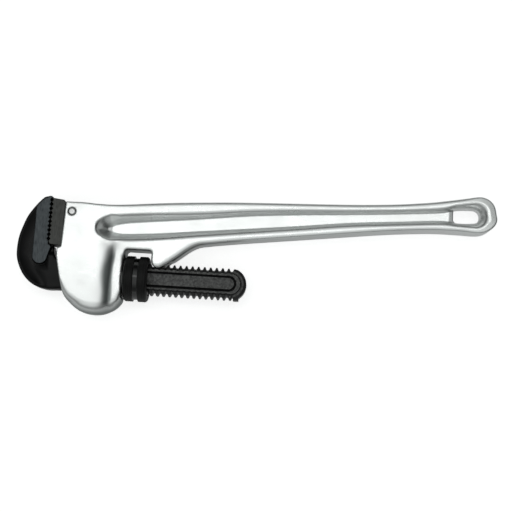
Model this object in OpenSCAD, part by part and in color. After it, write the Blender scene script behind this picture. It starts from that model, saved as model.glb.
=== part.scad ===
// Adjustable straight pipe wrench, 24 inch pattern, aluminium handle and steel jaws.
// Drawn lying flat. X runs along the screw shank towards the free end of the handle,
// Y runs from the shank towards the handle, and Z is the thickness.
// The outlines below are drawn from the point where the tooth line crosses the shank axis.
// place() then moves everything so that the origin is at the bottom centre of the whole tool.

/* [Jaws] */
// Width of both jaws along their teeth
jaw_w = 25; // [22:0.5:28]
// Distance from one gripping tooth to the next
tooth_pitch = 4.7; // [4.2:0.1:5]
// Depth of a gripping tooth
tooth_depth = 1.6; // [1:0.1:2]
// Depth of the trough behind the gripping pad
trough_depth = 3; // [1:0.5:4]
// Gap left between the two rows of teeth when the wrench is closed
tooth_gap = 0.2; // [0.1:0.05:0.4]

/* [Screw] */
// Travel of the hook jaw from closed to fully open
travel = 91; // [80:1:95]
// Distance from one screw tooth of the shank to the next
screw_pitch = 6.5; // [6:0.1:7]
// Radius of the shank over its screw teeth
crest_r = 17.5; // [17:0.1:17.8]
// Depth of the screw teeth
screw_depth = 3.2; // [2.5:0.1:3.5]
// Thickness of the flat sided shank
shank_t = 20; // [18:0.5:21]
// Free end of the shank
shank_end_x = 214.5; // [205:0.5:220]

/* [Nut] */
// Outer radius of the nut over its knurl
nut_r = 24.6; // [23:0.1:25]
// Length of the nut
nut_len = 25.4; // [24:0.1:26]
// Radius of the nut's bore
nut_bore_r = 17.75; // [17.7:0.01:17.9]
// Number of knurl ridges
knurl_count = 64; // [48:1:80]

/* [Handle] */
// Thickness of the head around the shank
head_t = 40; // [38:0.5:42]
// Thickness of the head beside the nut
cheek_t = 29; // [28:0.5:31]
// Thickness of the handle across its flanges
grip_t = 27; // [25:0.5:28]
// Thickness of the web between the flanges
web_t = 9; // [6:0.5:12]
// Radius of the round bottom of the head
head_r = 41.3; // [40:0.1:42]
// Rounding of the head's bottom edges
head_edge_r = 8; // [4:0.5:9]
// Half width of the hanging slot
slot_r = 7.7; // [6:0.1:8]

/* [Springs] */
// Thickness of the leaf spring
leaf_t = 1.2; // [0.8:0.1:1.4]
// Width of the leaf spring
leaf_w = 12; // [10:0.5:13]
// Wire thickness of the coil spring
wire_d = 1.6; // [1.2:0.1:1.8]
// Number of turns of the coil spring
coil_turns = 5; // [4:1:6]

/* [Hidden] */
$fn = 96;
eps = 0.01;

// Extents of the whole tool in the drawing frame
jaw_back_x = -33.5;
grip_end_x = 482;
grip_top_y = 111;
whole_mid_x = (jaw_back_x + grip_end_x) / 2;
whole_mid_y = (grip_top_y - head_r) / 2;

// Nut, and the window in the head that holds it
nut_x = 96.6;
window_x0 = nut_x - nut_len / 2 - 0.7;
window_x1 = 112.5;
window_y = 30;
window_corner_r = 3;

// Toothed faces
teeth_y0 = 34.1;
teeth_n = 10;
teeth_y1 = teeth_y0 + teeth_n * tooth_pitch;
heel_x = tooth_gap / 2;
hook_x = -tooth_gap / 2;

// Heel jaw: body in front of the head, tongue in a slot of the head, cross pin
heel_back_x = 15.2;
heel_top_y = 79.6;
heel_low_y = 31;
tongue_x = 31;
tongue_y0 = 38;
tongue_t = 12;
pin_x = 23.9;
pin_y = 66.5;
pin_r = 3.5;
pin_fit = 0.05;
pin_sink = 0.9;
pin_mouth_r = 4.4;
slot_fit = 0.15;

// Passage of the shank through the head, with room for the jaw to rock
rock_deg = 1.6;
head_front_x = 10.9;
passage_half_z = shank_t / 2 + 0.6;
passage_low_y = -(crest_r + (nut_x - head_front_x) * sin(rock_deg) + 1);
passage_top_y = crest_r + 0.6;
bracket_x = 158;
channel_top_y = crest_r + (bracket_x - nut_x) * sin(rock_deg) + 0.8;

// Spring pocket above the passage
leaf_x0 = 27;
leaf_x1 = 79;
leaf_y = crest_r + 0.5;
pocket_top_y = 34;
coil_x = 44;
coil_r = 4.6;
pocket_x0 = leaf_x0 - 2;
pocket_x1 = leaf_x1 + 2;
rivet_r = 2;
rivet_head_r = 3.4;

// Points on the arc through three points, the last one left out
function centre3(a, b, c) =
    let (d = 2 * (a.x * (b.y - c.y) + b.x * (c.y - a.y) + c.x * (a.y - b.y)),
         sa = a.x * a.x + a.y * a.y,
         sb = b.x * b.x + b.y * b.y,
         sc = c.x * c.x + c.y * c.y)
    [(sa * (b.y - c.y) + sb * (c.y - a.y) + sc * (a.y - b.y)) / d,
     (sa * (c.x - b.x) + sb * (a.x - c.x) + sc * (b.x - a.x)) / d];
function wrap(a) = a - 360 * floor(a / 360);
function arc3(a, b, c, n = 8) =
    let (m = centre3(a, b, c),
         r = norm(a - m),
         t0 = atan2(a.y - m.y, a.x - m.x),
         tb = wrap(atan2(b.y - m.y, b.x - m.x) - t0),
         tc = wrap(atan2(c.y - m.y, c.x - m.x) - t0),
         sweep = tb < tc ? tc : tc - 360)
    [for (i = [0 : n - 1]) m + r * [cos(t0 + sweep * i / n), sin(t0 + sweep * i / n)]];
function arc_at(c, r, a0, a1, n = 8) =
    [for (i = [0 : n]) c + r * [cos(a0 + (a1 - a0) * i / n), sin(a0 + (a1 - a0) * i / n)]];

// Moves a sub-part from the drawing frame to the frame of the whole tool
module place() {
    translate([-whole_mid_x, -whole_mid_y, nut_r]) children();
}

// A plate of the given thickness, centred on the mid-plane
module plate(t) {
    translate([0, 0, -t / 2]) linear_extrude(t) children();
}

// A round bar along the shank axis
module bar_x(r, x0, x1) {
    translate([x0, 0, 0]) rotate([0, 90, 0]) cylinder(r = r, h = x1 - x0);
}

// ---------------------------------------------------------------- handle

// Outline of the handle and of the upper head
step_x = 15.2;
step_y = 28.2;
grip_outline = concat(
    [[16.9, 76.9]],
    arc3([31, 77.2], [51, 76.3], [66, 76.4], 4),
    arc3([66, 76.4], [138, 84], [224, 89.5], 10),
    arc3([224, 89.5], [267, 91.2], [310, 93], 4),
    arc3([310, 93], [375, 97.5], [450, 108.5], 10),
    arc_at([462.5, 91.5], 19.5, 97, -50, 16),
    arc3([472.2, 74.4], [465.4, 71.7], [454.5, 70.6], 4),
    arc3([454.5, 70.6], [411, 70.3], [378, 67.7], 5),
    arc3([378, 67.7], [270, 54.2], [177, 41.7], 8),
    arc3([177, 41.7], [164, 40], [154.5, 34.5], 6),
    [[132, 16.8]],
    arc3([126, 13.2], [118.6, 12], [window_x1, 18], 5),
    [[window_x1, 18], [60, 18], [60, step_y], [step_x, step_y]]);

// Mouth of the recess between the two flanges
recess_outline = concat(
    arc3([61.4, 41.9], [52.9, 49.5], [64.9, 63.7], 10),
    arc3([64.9, 63.7], [85.6, 68.6], [160, 75.6], 6),
    arc3([160, 75.6], [267, 84.7], [375, 92.2], 8),
    arc3([375, 92.2], [417, 97.3], [452, 103.4], 5),
    arc_at([458.5, 90.5], 12.6, 95, -70, 12),
    arc3([452, 78], [418, 76.4], [375, 73.2], 5),
    arc3([375, 73.2], [268, 61.1], [162, 47.5], 8),
    arc3([162, 47.5], [88, 38.3], [69, 38], 6));

// Thickness of the casting along its length, drawn as x and z
cheek_profile = concat(
    [[10, head_t / 2]],
    arc3([54, head_t / 2], [64, head_t / 2 - 1.6], [72, cheek_t / 2], 6),
    [[72, cheek_t / 2], [130, cheek_t / 2], [190, grip_t / 2], [grip_end_x, grip_t / 2]]);
side_profile = concat(cheek_profile,
    [for (i = [len(cheek_profile) - 1 : -1 : 0]) [cheek_profile[i].x, -cheek_profile[i].y]]);

// Lower head: a thick disc with rounded edges, centred on the shank
head_mid_x = 53;
module head_disc() {
    translate([head_mid_x, 0, 0]) rotate_extrude() {
        polygon(concat([[0, -head_t / 2]],
            arc_at([head_r - head_edge_r, -head_t / 2 + head_edge_r], head_edge_r, -90, 0, 6),
            arc_at([head_r - head_edge_r, head_t / 2 - head_edge_r], head_edge_r, 0, 90, 6),
            [[0, head_t / 2]]));
    }
}

// Front edge of the head, from the step under the heel jaw to its bottom
module head_front() {
    plate(head_t + 2) polygon(concat(
        [[step_x, step_y], [head_front_x + 0.3, step_y - 1.7]],
        arc3([head_front_x, 25], [12.4, 10], [18.5, -12], 8),
        [[18.5, -12], [18.5, -60], [86, -60], [86, 31], [30, 31], [30, step_y]]));
}

module lower_head() {
    intersection() {
        union() {
            head_disc();
            translate([head_mid_x - head_r - 2, 0, -head_t / 2])
                cube([head_r + 2 + 86 - head_mid_x, window_y + 1, head_t]);
        }
        head_front();
    }
}

module casting() {
    intersection() {
        union() {
            plate(head_t) polygon(grip_outline);
            lower_head();
        }
        rotate([90, 0, 0]) translate([0, 0, -150]) linear_extrude(300) polygon(side_profile);
    }
}

// Window that shows the nut, open at the bottom
module nut_window() {
    w = window_x1 - window_x0;
    translate([window_x0, -60, -30]) cube([w, 60 + window_y - window_corner_r, 60]);
    translate([window_x0 + window_corner_r, 0, -30])
        cube([w - 2 * window_corner_r, window_y, 60]);
    for (x = [window_x0 + window_corner_r, window_x1 - window_corner_r])
        translate([x, window_y - window_corner_r, -30])
            cylinder(r = window_corner_r, h = 60);
}

// Way of the shank through the head and between the ears of the bracket
module shank_way() {
    translate([0, passage_low_y, -passage_half_z])
        cube([window_x0 + 1, passage_top_y - passage_low_y, 2 * passage_half_z]);
    translate([window_x1 - 1, passage_low_y, -passage_half_z])
        cube([bracket_x - window_x1 + 6, channel_top_y - passage_low_y, 2 * passage_half_z]);
}

module spring_pocket() {
    translate([pocket_x0, 0, -leaf_w / 2 - 0.6])
        cube([pocket_x1 - pocket_x0, leaf_y + leaf_t + 1.5, leaf_w + 1.2]);
    translate([coil_x, 0, 0]) rotate([-90, 0, 0]) cylinder(r = coil_r + wire_d / 2 + 0.6, h = pocket_top_y);
}

module recess() {
    for (side = [0, 1]) mirror([0, 0, side])
        translate([0, 0, web_t / 2]) linear_extrude(head_t) polygon(recess_outline);
}

// Hanging slot at the free end, with a round end about each of two points
slot_a = [441.2, 89];
slot_b = [454.6, 89.8];
slot_deg = atan2(slot_b.y - slot_a.y, slot_b.x - slot_a.x);
slot_outline = concat(
    arc_at(slot_a, slot_r, slot_deg + 90, slot_deg + 270, 20),
    arc_at(slot_b, slot_r, slot_deg - 90, slot_deg + 90, 20));
module hang_slot() {
    plate(head_t) polygon(slot_outline);
}

module pin_hole() {
    translate([pin_x, pin_y, -head_t / 2 - 1]) cylinder(r = pin_r + pin_fit, h = head_t + 2);
    for (side = [0, 1]) mirror([0, 0, side])
        translate([pin_x, pin_y, head_t / 2 - pin_sink]) cylinder(r = pin_mouth_r, h = 3);
}

module tongue_slot() {
    translate([10, tongue_y0 - slot_fit, -tongue_t / 2 - slot_fit])
        cube([tongue_x - 10 + slot_fit, 60, tongue_t + 2 * slot_fit]);
}

module handle() {
    color([0.9, 0.9, 0.89]) difference() {
        casting();
        nut_window();
        shank_way();
        spring_pocket();
        recess();
        hang_slot();
        pin_hole();
        tongue_slot();
    }
}

// ---------------------------------------------------------------- jaws

// Edge of a toothed face: side is 1 where the metal is at +X, -1 where it is at -X
function tooth_edge(x, side) = [for (i = [0 : teeth_n - 1]) each [
    [x, teeth_y0 + i * tooth_pitch],
    [x + side * tooth_depth, teeth_y0 + (i + 0.5) * tooth_pitch]]];

module heel_jaw() {
    color([0.27, 0.27, 0.26]) difference() {
        union() {
            plate(jaw_w) polygon(concat(
                tooth_edge(heel_x, 1),
                [[heel_x, teeth_y1 - eps], [heel_x + 1.2, heel_top_y], [heel_back_x - 2, heel_top_y - 1.4],
                 [heel_back_x - 0.4, heel_top_y - 3], [heel_back_x - 0.4, heel_low_y - 1],
                 [heel_x + 1.6, heel_low_y]]));
            plate(tongue_t) polygon([[heel_back_x - 1, tongue_y0], [tongue_x, tongue_y0],
                [tongue_x, heel_top_y - 4], [heel_back_x - 1, heel_top_y - 4]]);
        }
        translate([pin_x, pin_y, -jaw_w]) cylinder(r = pin_r + pin_fit, h = 2 * jaw_w);
    }
}

module heel_jaw_pin() {
    len = head_t - 2 * pin_sink + 0.4;
    color([0.8, 0.8, 0.8]) translate([pin_x, pin_y, -len / 2]) cylinder(r = pin_r, h = len);
}

// Hook: gripping face, curved back, and the shoulder under the heel jaw that leads into the shank
shoulder_x = 5.4;
hook_outline = concat(
    [[0.3, 82.9]],
    arc3([-2, 83.1], [-8, 81.9], [-13.2, 77.2], 5),
    arc3([-13.2, 77.2], [-27.5, 53.5], [jaw_back_x, 24], 10),
    arc_at([jaw_back_x + 43.4, 24], 43.4, 180, 248, 14),
    [[0, -17.3], [14, -crest_r], [14, crest_r], [shoulder_x + 2.6, crest_r + 0.3]],
    [[shoulder_x, 28.4], [shoulder_x - 1, 29.4], [hook_x, 29.8]],
    tooth_edge(hook_x, -1),
    [[hook_x, teeth_y1]]);

// Screw teeth: grooves around the shank, cut as rings that lean by the screw's lead angle.
// The teeth of the lower edge stand half a pitch away from those of the upper edge.
root_r = crest_r - screw_depth;
lead_deg = atan(screw_pitch / (2 * PI * (crest_r - screw_depth / 2)));
groove_root = 2.2;
groove_flare = 0.865;
groove_x0 = 80.8;
groove_n = 19;
function groove_w(r) = groove_root + (r - root_r) * groove_flare;
module groove_ring() {
    rotate([0, 90, 0]) rotate_extrude() polygon([
        [root_r, -groove_root / 2], [root_r, groove_root / 2],
        [crest_r + 0.5, groove_w(crest_r + 0.5) / 2], [crest_r + 0.5, -groove_w(crest_r + 0.5) / 2]]);
}

module screw_grooves(upper) {
    side = upper ? 1 : -1;
    intersection() {
        for (i = [0 : groove_n - 1])
            translate([groove_x0 + (i - (upper ? 0 : 0.5)) * screw_pitch, 0, 0])
                rotate([0, side * lead_deg, 0]) groove_ring();
        translate([0, upper ? 2 : -42, -shank_t]) cube([shank_end_x + 10, 40, 2 * shank_t]);
    }
}

// Round groove line on each side of the shank
line_y = 7.4;
line_w = 1.6;
line_depth = 0.8;
line_end_x = 196.5;
module side_line() {
    for (side = [0, 1]) mirror([0, 0, side]) translate([0, 0, shank_t / 2 - line_depth]) {
        for (y = [line_y, -line_y])
            translate([70, y - line_w / 2, 0]) cube([line_end_x - 70, line_w, 2]);
        difference() {
            translate([line_end_x, 0, 0]) cylinder(r = line_y + line_w / 2, h = 2);
            translate([line_end_x, 0, -1]) cylinder(r = line_y - line_w / 2, h = 4);
            translate([line_end_x - 20, -20, -1]) cube([20, 40, 4]);
        }
    }
}

module shank() {
    end_mid_x = shank_end_x - crest_r;
    difference() {
        intersection() {
            bar_x(crest_r, 8, shank_end_x);
            plate(shank_t) union() {
                translate([0, -crest_r - 1]) square([end_mid_x, 2 * crest_r + 2]);
                translate([end_mid_x, 0]) circle(r = crest_r);
            }
        }
        screw_grooves(true);
        screw_grooves(false);
        side_line();
    }
}

// Trough between the raised pad along the teeth and the rim of the back
trough_outline = concat(
    arc3([-16.5, 73], [-23.5, 56], [-28.4, 28], 5),
    arc_at([9.9, 24], 38.3, 180, 232, 8),
    arc3([-13, -7], [-4, 1], [0.6, 14], 5),
    arc3([-1.2, 17.5], [-8.3, 8.8], [-15.4, 17.5], 6),
    [[-15.6, 30]]);

module hook_jaw() {
    color([0.2, 0.2, 0.2]) union() {
        difference() {
            plate(jaw_w) intersection() {
                polygon(hook_outline);
                translate([-60, -60]) square([67, 160]);
            }
            for (side = [0, 1]) mirror([0, 0, side])
                translate([0, 0, jaw_w / 2 - trough_depth]) linear_extrude(jaw_w)
                    polygon(trough_outline);
        }
        plate(shank_t) intersection() {
            polygon(hook_outline);
            translate([-5, -60]) square([17, 160]);
        }
        shank();
    }
}

// ---------------------------------------------------------------- nut

nut_groove_w = 5.5;
nut_groove_r = nut_r - 2.2;
knurl_depth = 0.5;
nut_rim_r = nut_r - knurl_depth - 0.3;
nut_chamfer = 2;
module knurl_outline() {
    polygon([for (i = [0 : knurl_count - 1], k = [0 : 3])
        let (r = k < 2 ? nut_r : nut_r - knurl_depth, a = (i + [0, 0.45, 0.6, 0.85][k]) * 360 / knurl_count)
        r * [cos(a), sin(a)]]);
}

// Inside thread: a ridge of four sided section swept along the shank's helix.
// It keeps ridge_fit clear of the flanks and of the root of the shank's grooves.
ridge_fit = 0.32;
ridge_tip_r = root_r + ridge_fit;
ridge_base_r = nut_bore_r + 0.8;
ridge_steps = 36;
ridge_end = 2.6;
function ridge_half(r) = groove_w(r) / 2 - ridge_fit;
ridge_a0 = 360 * (nut_x - nut_len / 2 + ridge_end - groove_x0) / screw_pitch;
ridge_a1 = 360 * (nut_x + nut_len / 2 - ridge_end - groove_x0) / screw_pitch;
ridge_n = floor((ridge_a1 - ridge_a0) * ridge_steps / 360);
ridge_section = [[ridge_base_r, -ridge_half(ridge_base_r)], [ridge_tip_r, -ridge_half(ridge_tip_r)],
                 [ridge_tip_r, ridge_half(ridge_tip_r)], [ridge_base_r, ridge_half(ridge_base_r)]];
function ridge_point(i, k) =
    let (a = ridge_a0 + i * 360 / ridge_steps)
    [groove_x0 + screw_pitch * a / 360 + ridge_section[k].y,
     ridge_section[k].x * cos(a), ridge_section[k].x * sin(a)];
module nut_thread() {
    polyhedron(
        points = [for (i = [0 : ridge_n], k = [0 : 3]) ridge_point(i, k)],
        faces = concat(
            [[0, 1, 2, 3]],
            [for (i = [0 : ridge_n - 1], k = [0 : 3]) let (n = (k + 1) % 4)
                each [[i * 4 + k, (i + 1) * 4 + n, i * 4 + n], [i * 4 + k, (i + 1) * 4 + k, (i + 1) * 4 + n]]],
            [[for (k = [3 : -1 : 0]) ridge_n * 4 + k]]));
}

module nut_ring() {
    band = (nut_len - nut_groove_w) / 2;
    translate([nut_x, 0, 0]) rotate([0, 90, 0]) difference() {
        union() {
            for (side = [0, 1]) mirror([0, 0, side]) translate([0, 0, nut_groove_w / 2]) {
                linear_extrude(band - nut_chamfer) knurl_outline();
                translate([0, 0, band - nut_chamfer - eps])
                    rotate_extrude() polygon([[0, 0], [nut_rim_r, 0],
                        [nut_rim_r - nut_chamfer, nut_chamfer + eps], [0, nut_chamfer + eps]]);
            }
            translate([0, 0, -nut_groove_w / 2 - 1]) cylinder(r = nut_groove_r, h = nut_groove_w + 2);
        }
        translate([0, 0, -nut_len]) cylinder(r = nut_bore_r, h = 2 * nut_len);
    }
}

module adjusting_nut() {
    color([0.12, 0.12, 0.12]) union() {
        nut_ring();
        nut_thread();
    }
}

// ---------------------------------------------------------------- springs

module flat_spring() {
    color([0.45, 0.46, 0.5]) difference() {
        translate([leaf_x0, leaf_y, -leaf_w / 2]) cube([leaf_x1 - leaf_x0, leaf_t, leaf_w]);
        translate([coil_x, leaf_y - 1, 0]) rotate([-90, 0, 0]) cylinder(r = rivet_r + 0.05, h = leaf_t + 2);
    }
}

// Rivet that clamps the last turn of the coil to the leaf
module spring_rivet() {
    color([0.6, 0.6, 0.62]) translate([coil_x, 0, 0]) rotate([-90, 0, 0]) {
        translate([0, 0, leaf_y + 0.2]) cylinder(r = rivet_r, h = leaf_t + 3);
        translate([0, 0, leaf_y + leaf_t]) cylinder(r = rivet_head_r, h = 1);
    }
}

// Coil wire: a tube of eight sides swept along a helix around Y
coil_y0 = leaf_y + leaf_t + wire_d / 2 + 0.05;
coil_y1 = pocket_top_y - wire_d / 2 - 0.05;
coil_steps = 14 * coil_turns;
function coil_point(i, k) =
    let (t = i / coil_steps, a = 360 * coil_turns * t, b = 45 * k,
         rr = coil_r + wire_d / 2 * cos(b))
    [coil_x + rr * cos(a), coil_y0 + (coil_y1 - coil_y0) * t + wire_d / 2 * sin(b), rr * sin(a)];
module coil_spring() {
    last = coil_steps * 8;
    color([0.5, 0.5, 0.53]) polyhedron(
        points = [for (i = [0 : coil_steps], k = [0 : 7]) coil_point(i, k)],
        faces = concat(
            [[for (k = [0 : 7]) k]],
            [for (i = [0 : coil_steps - 1], k = [0 : 7]) let (n = (k + 1) % 8)
                [i * 8 + k, (i + 1) * 8 + k, (i + 1) * 8 + n, i * 8 + n]],
            [[for (k = [7 : -1 : 0]) last + k]]));
}

place() handle();
place() heel_jaw();
place() heel_jaw_pin();
place() hook_jaw();
place() adjusting_nut();
place() flat_spring();
place() spring_rivet();
place() coil_spring();
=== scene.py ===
"""Looks of the pipe wrench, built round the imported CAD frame.

Every visible piece is drawn as a field that is negative inside the metal, in millimetres, in the
wrench's drawing frame: X runs along the screw shank towards the free end of the handle, Y from the
shank towards the handle, Z is the thickness, and the origin is where the tooth line crosses the
shank's axis. polygonise() turns a field into a mesh of even quads that lie on its surface.
"""
import math

import bpy
import numpy as np
from mathutils import Matrix, Vector


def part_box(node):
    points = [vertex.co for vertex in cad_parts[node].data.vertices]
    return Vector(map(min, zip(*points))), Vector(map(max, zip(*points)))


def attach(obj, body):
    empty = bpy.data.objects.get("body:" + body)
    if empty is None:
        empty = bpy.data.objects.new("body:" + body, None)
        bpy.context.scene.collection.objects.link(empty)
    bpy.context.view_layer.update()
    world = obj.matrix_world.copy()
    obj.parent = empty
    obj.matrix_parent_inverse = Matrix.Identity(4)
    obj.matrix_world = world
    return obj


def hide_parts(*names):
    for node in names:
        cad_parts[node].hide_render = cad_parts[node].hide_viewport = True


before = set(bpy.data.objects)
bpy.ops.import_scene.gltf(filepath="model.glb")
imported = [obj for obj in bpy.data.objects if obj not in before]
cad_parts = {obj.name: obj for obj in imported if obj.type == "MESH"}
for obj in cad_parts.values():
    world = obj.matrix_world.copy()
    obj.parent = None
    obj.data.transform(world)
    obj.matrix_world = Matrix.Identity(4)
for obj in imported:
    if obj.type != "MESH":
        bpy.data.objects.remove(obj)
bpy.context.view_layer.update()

MM = 0.001                            # a millimetre in metres
COARSE = 1.0
HANDLE_CELL, HEEL_CELL, HOOK_CELL, NUT_CELL = 0.85, 0.42, 0.55, 0.38    # mesh cells, mm
PLAIN_GRIP = (130, 420, 1.8)          # the grip changes slowly between these X: its cells are longer

# ------------------------------------------------------------------ places taken from the frame
heel_low, heel_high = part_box("heel_jaw")
nut_low, nut_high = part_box("adjusting_nut")
pin_low, pin_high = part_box("heel_jaw_pin")
TOOTH_GAP = 0.2                       # between the two rows of gripping teeth
ORIGIN = np.array([
    heel_low[0] - TOOTH_GAP / 2 * MM,
    (nut_low[1] + nut_high[1]) / 2,
    (nut_low[2] + nut_high[2]) / 2])


def drawn(point):
    """A frame position, in metres, as millimetres of the drawing frame."""
    return (np.array(point) - ORIGIN) / MM


def placed(points):
    """Drawing frame millimetres as frame metres."""
    return np.asarray(points) * MM + ORIGIN


NUT_X0, NUT_X1 = drawn(nut_low)[0], drawn(nut_high)[0]
NUT_X = (NUT_X0 + NUT_X1) / 2
NUT_R = (nut_high[2] - nut_low[2]) / 2 / MM
PIN_X, PIN_Y, _ = (drawn(pin_low) + drawn(pin_high)) / 2
PIN_R = (pin_high[0] - pin_low[0]) / 2 / MM
PIN_HALF = (pin_high[2] - pin_low[2]) / 2 / MM
HEEL_TOP, HEEL_BACK = drawn(heel_high)[1], drawn(heel_high)[0]


# ------------------------------------------------------------------ curves and fields
def curve(*points, spacing=1.5):
    """Points along a smooth curve through the given ones, the last one left out."""
    p = np.array(points, float)
    ends = np.vstack([2 * p[0] - p[1], p, 2 * p[-1] - p[-2]])
    out = []
    for i in range(len(p) - 1):
        a, b, c, d = ends[i:i + 4]
        n = max(2, int(np.linalg.norm(c - b) / spacing))
        for t in np.arange(n) / n:
            out.append(0.5 * (2 * b + (c - a) * t + (2 * a - 5 * b + 4 * c - d) * t ** 2
                              + (3 * b - a - 3 * c + d) * t ** 3))
    return [tuple(q) for q in out]


def arc(x, y, r, start, end, n=12):
    """Points along a circular arc, angles in degrees, both ends included."""
    angles = np.radians(np.linspace(start, end, n + 1))
    return [(x + r * math.cos(a), y + r * math.sin(a)) for a in angles]


def thinned(points, slack=0.004):
    """The curve's points without those that lie within slack of the line between their neighbours."""
    kept = [points[0]]
    p = np.array(points)
    i = 0
    while i < len(p) - 1:
        j = i + 1
        while j + 1 < len(p):
            ax, ay = p[i]
            ex, ey = p[j + 1] - p[i]
            off = np.abs((p[i + 1:j + 1, 0] - ax) * ey - (p[i + 1:j + 1, 1] - ay) * ex)
            if off.max() > slack * math.hypot(ex, ey):
                break
            j += 1
        kept.append(points[j])
        i = j
    return kept


class Outline:
    """Signed distance to a closed outline in XY, negative inside, read off a fine lattice."""

    def __init__(self, points, cell, margin=14):
        points = thinned(list(points) + [points[0]])[:-1]
        p = np.array(points)
        self.cell = cell
        self.low = p.min(0) - margin
        self.count = np.ceil((p.max(0) + margin - self.low) / cell).astype(int) + 2
        x = (self.low[0] + cell * np.arange(self.count[0])).astype(np.float32)[:, None]
        y = (self.low[1] + cell * np.arange(self.count[1])).astype(np.float32)[None, :]
        near = np.full(tuple(self.count), 1e9, np.float32)
        inside = np.zeros(tuple(self.count), bool)
        for (ax, ay), (bx, by) in zip(points, points[1:] + points[:1]):
            ex, ey = bx - ax, by - ay
            size = ex * ex + ey * ey
            if size < 1e-10:
                continue
            t = np.clip(((x - ax) * (ex / size)) + ((y - ay) * (ey / size)), 0, 1)
            near = np.minimum(near, ((x - ax) - ex * t) ** 2 + ((y - ay) - ey * t) ** 2)
            if ey != 0:
                inside ^= ((ay <= y) != (by <= y)) & (x < ax + ex * (y - ay) / ey)
        self.table = np.where(inside, -1, 1) * np.sqrt(near)

    def __call__(self, x, y):
        u = np.clip((x - self.low[0]) / self.cell, 0, self.count[0] - 1.001)
        v = np.clip((y - self.low[1]) / self.cell, 0, self.count[1] - 1.001)
        i, j = u.astype(int), v.astype(int)
        s, t = u - i, v - j
        table = self.table
        return ((table[i, j] * (1 - s) + table[i + 1, j] * s) * (1 - t)
                + (table[i, j + 1] * (1 - s) + table[i + 1, j + 1] * s) * t)


def step(low, high, value):
    """0 below low, 1 above high, smooth in between. With low above high it falls instead."""
    t = np.clip((value - low) / (high - low), 0, 1)
    return t * t * (3 - 2 * t)


def mix(a, b, share):
    """a where share is 0, b where it is 1."""
    return a + (b - a) * share


def blend_min(a, b, k):
    """Union with a fillet of about k."""
    h = np.clip(0.5 + 0.5 * (b - a) / k, 0, 1)
    return b * (1 - h) + a * h - k * h * (1 - h)


def blend_max(a, b, k):
    """Intersection with an edge rounded by about k."""
    return -blend_min(-a, -b, k)


def rounded(side, top, r):
    """Intersection of a side and a top distance, with an edge of radius r between them."""
    a, b = side + r, top + r
    return np.hypot(np.maximum(a, 0), np.maximum(b, 0)) + np.minimum(np.maximum(a, b), 0) - r


def box_distance(x, y, z, low, high):
    """Distance to a box, negative inside it."""
    parts = [np.maximum(l - v, v - h) for v, l, h in zip((x, y, z), low, high)]
    return np.maximum(np.maximum(parts[0], parts[1]), parts[2])


# ------------------------------------------------------------------ from field to mesh
CORNERS = np.array([(i, j, k) for i in (0, 1) for j in (0, 1) for k in (0, 1)])
EDGES = [(a, b) for a in range(8) for b in range(a + 1, 8) if abs(CORNERS[a] - CORNERS[b]).sum() == 1]


def settle(field, points, size, rounds):
    """Moves points onto the field's surface along its slope."""
    reach = 0.03 * size
    for _ in range(rounds):
        x, y, z = points.T
        here = field(x, y, z)
        slope = np.stack([field(x + reach, y, z) - here, field(x, y + reach, z) - here,
                          field(x, y, z + reach) - here], 1) / reach
        steep = np.maximum((slope ** 2).sum(1), 0.2)
        move = -(here / steep)[:, None] * slope
        length = np.linalg.norm(move, axis=1)
        points = points + move * np.minimum(1, 0.5 * size / np.maximum(length, 1e-9))[:, None]
    return points


def relaxed(points, quads, share):
    """Points moved part of the way to the middle of their neighbours, which evens out the mesh."""
    sides = [(a, (a + 1) % 4) for a in range(4)]
    ends = np.vstack([quads[:, pair] for pair in sides + [pair[::-1] for pair in sides]])
    count = np.bincount(ends[:, 0], minlength=len(points))
    middle = np.stack([np.bincount(ends[:, 0], points[ends[:, 1], a], len(points)) for a in range(3)], 1)
    return points + share * (middle / np.maximum(count, 1)[:, None] - points)


def spaced(low, high, size):
    """Even places from low to high, about size apart."""
    return np.linspace(low, high, max(2, int(math.ceil((high - low) / size)) + 1))


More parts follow.
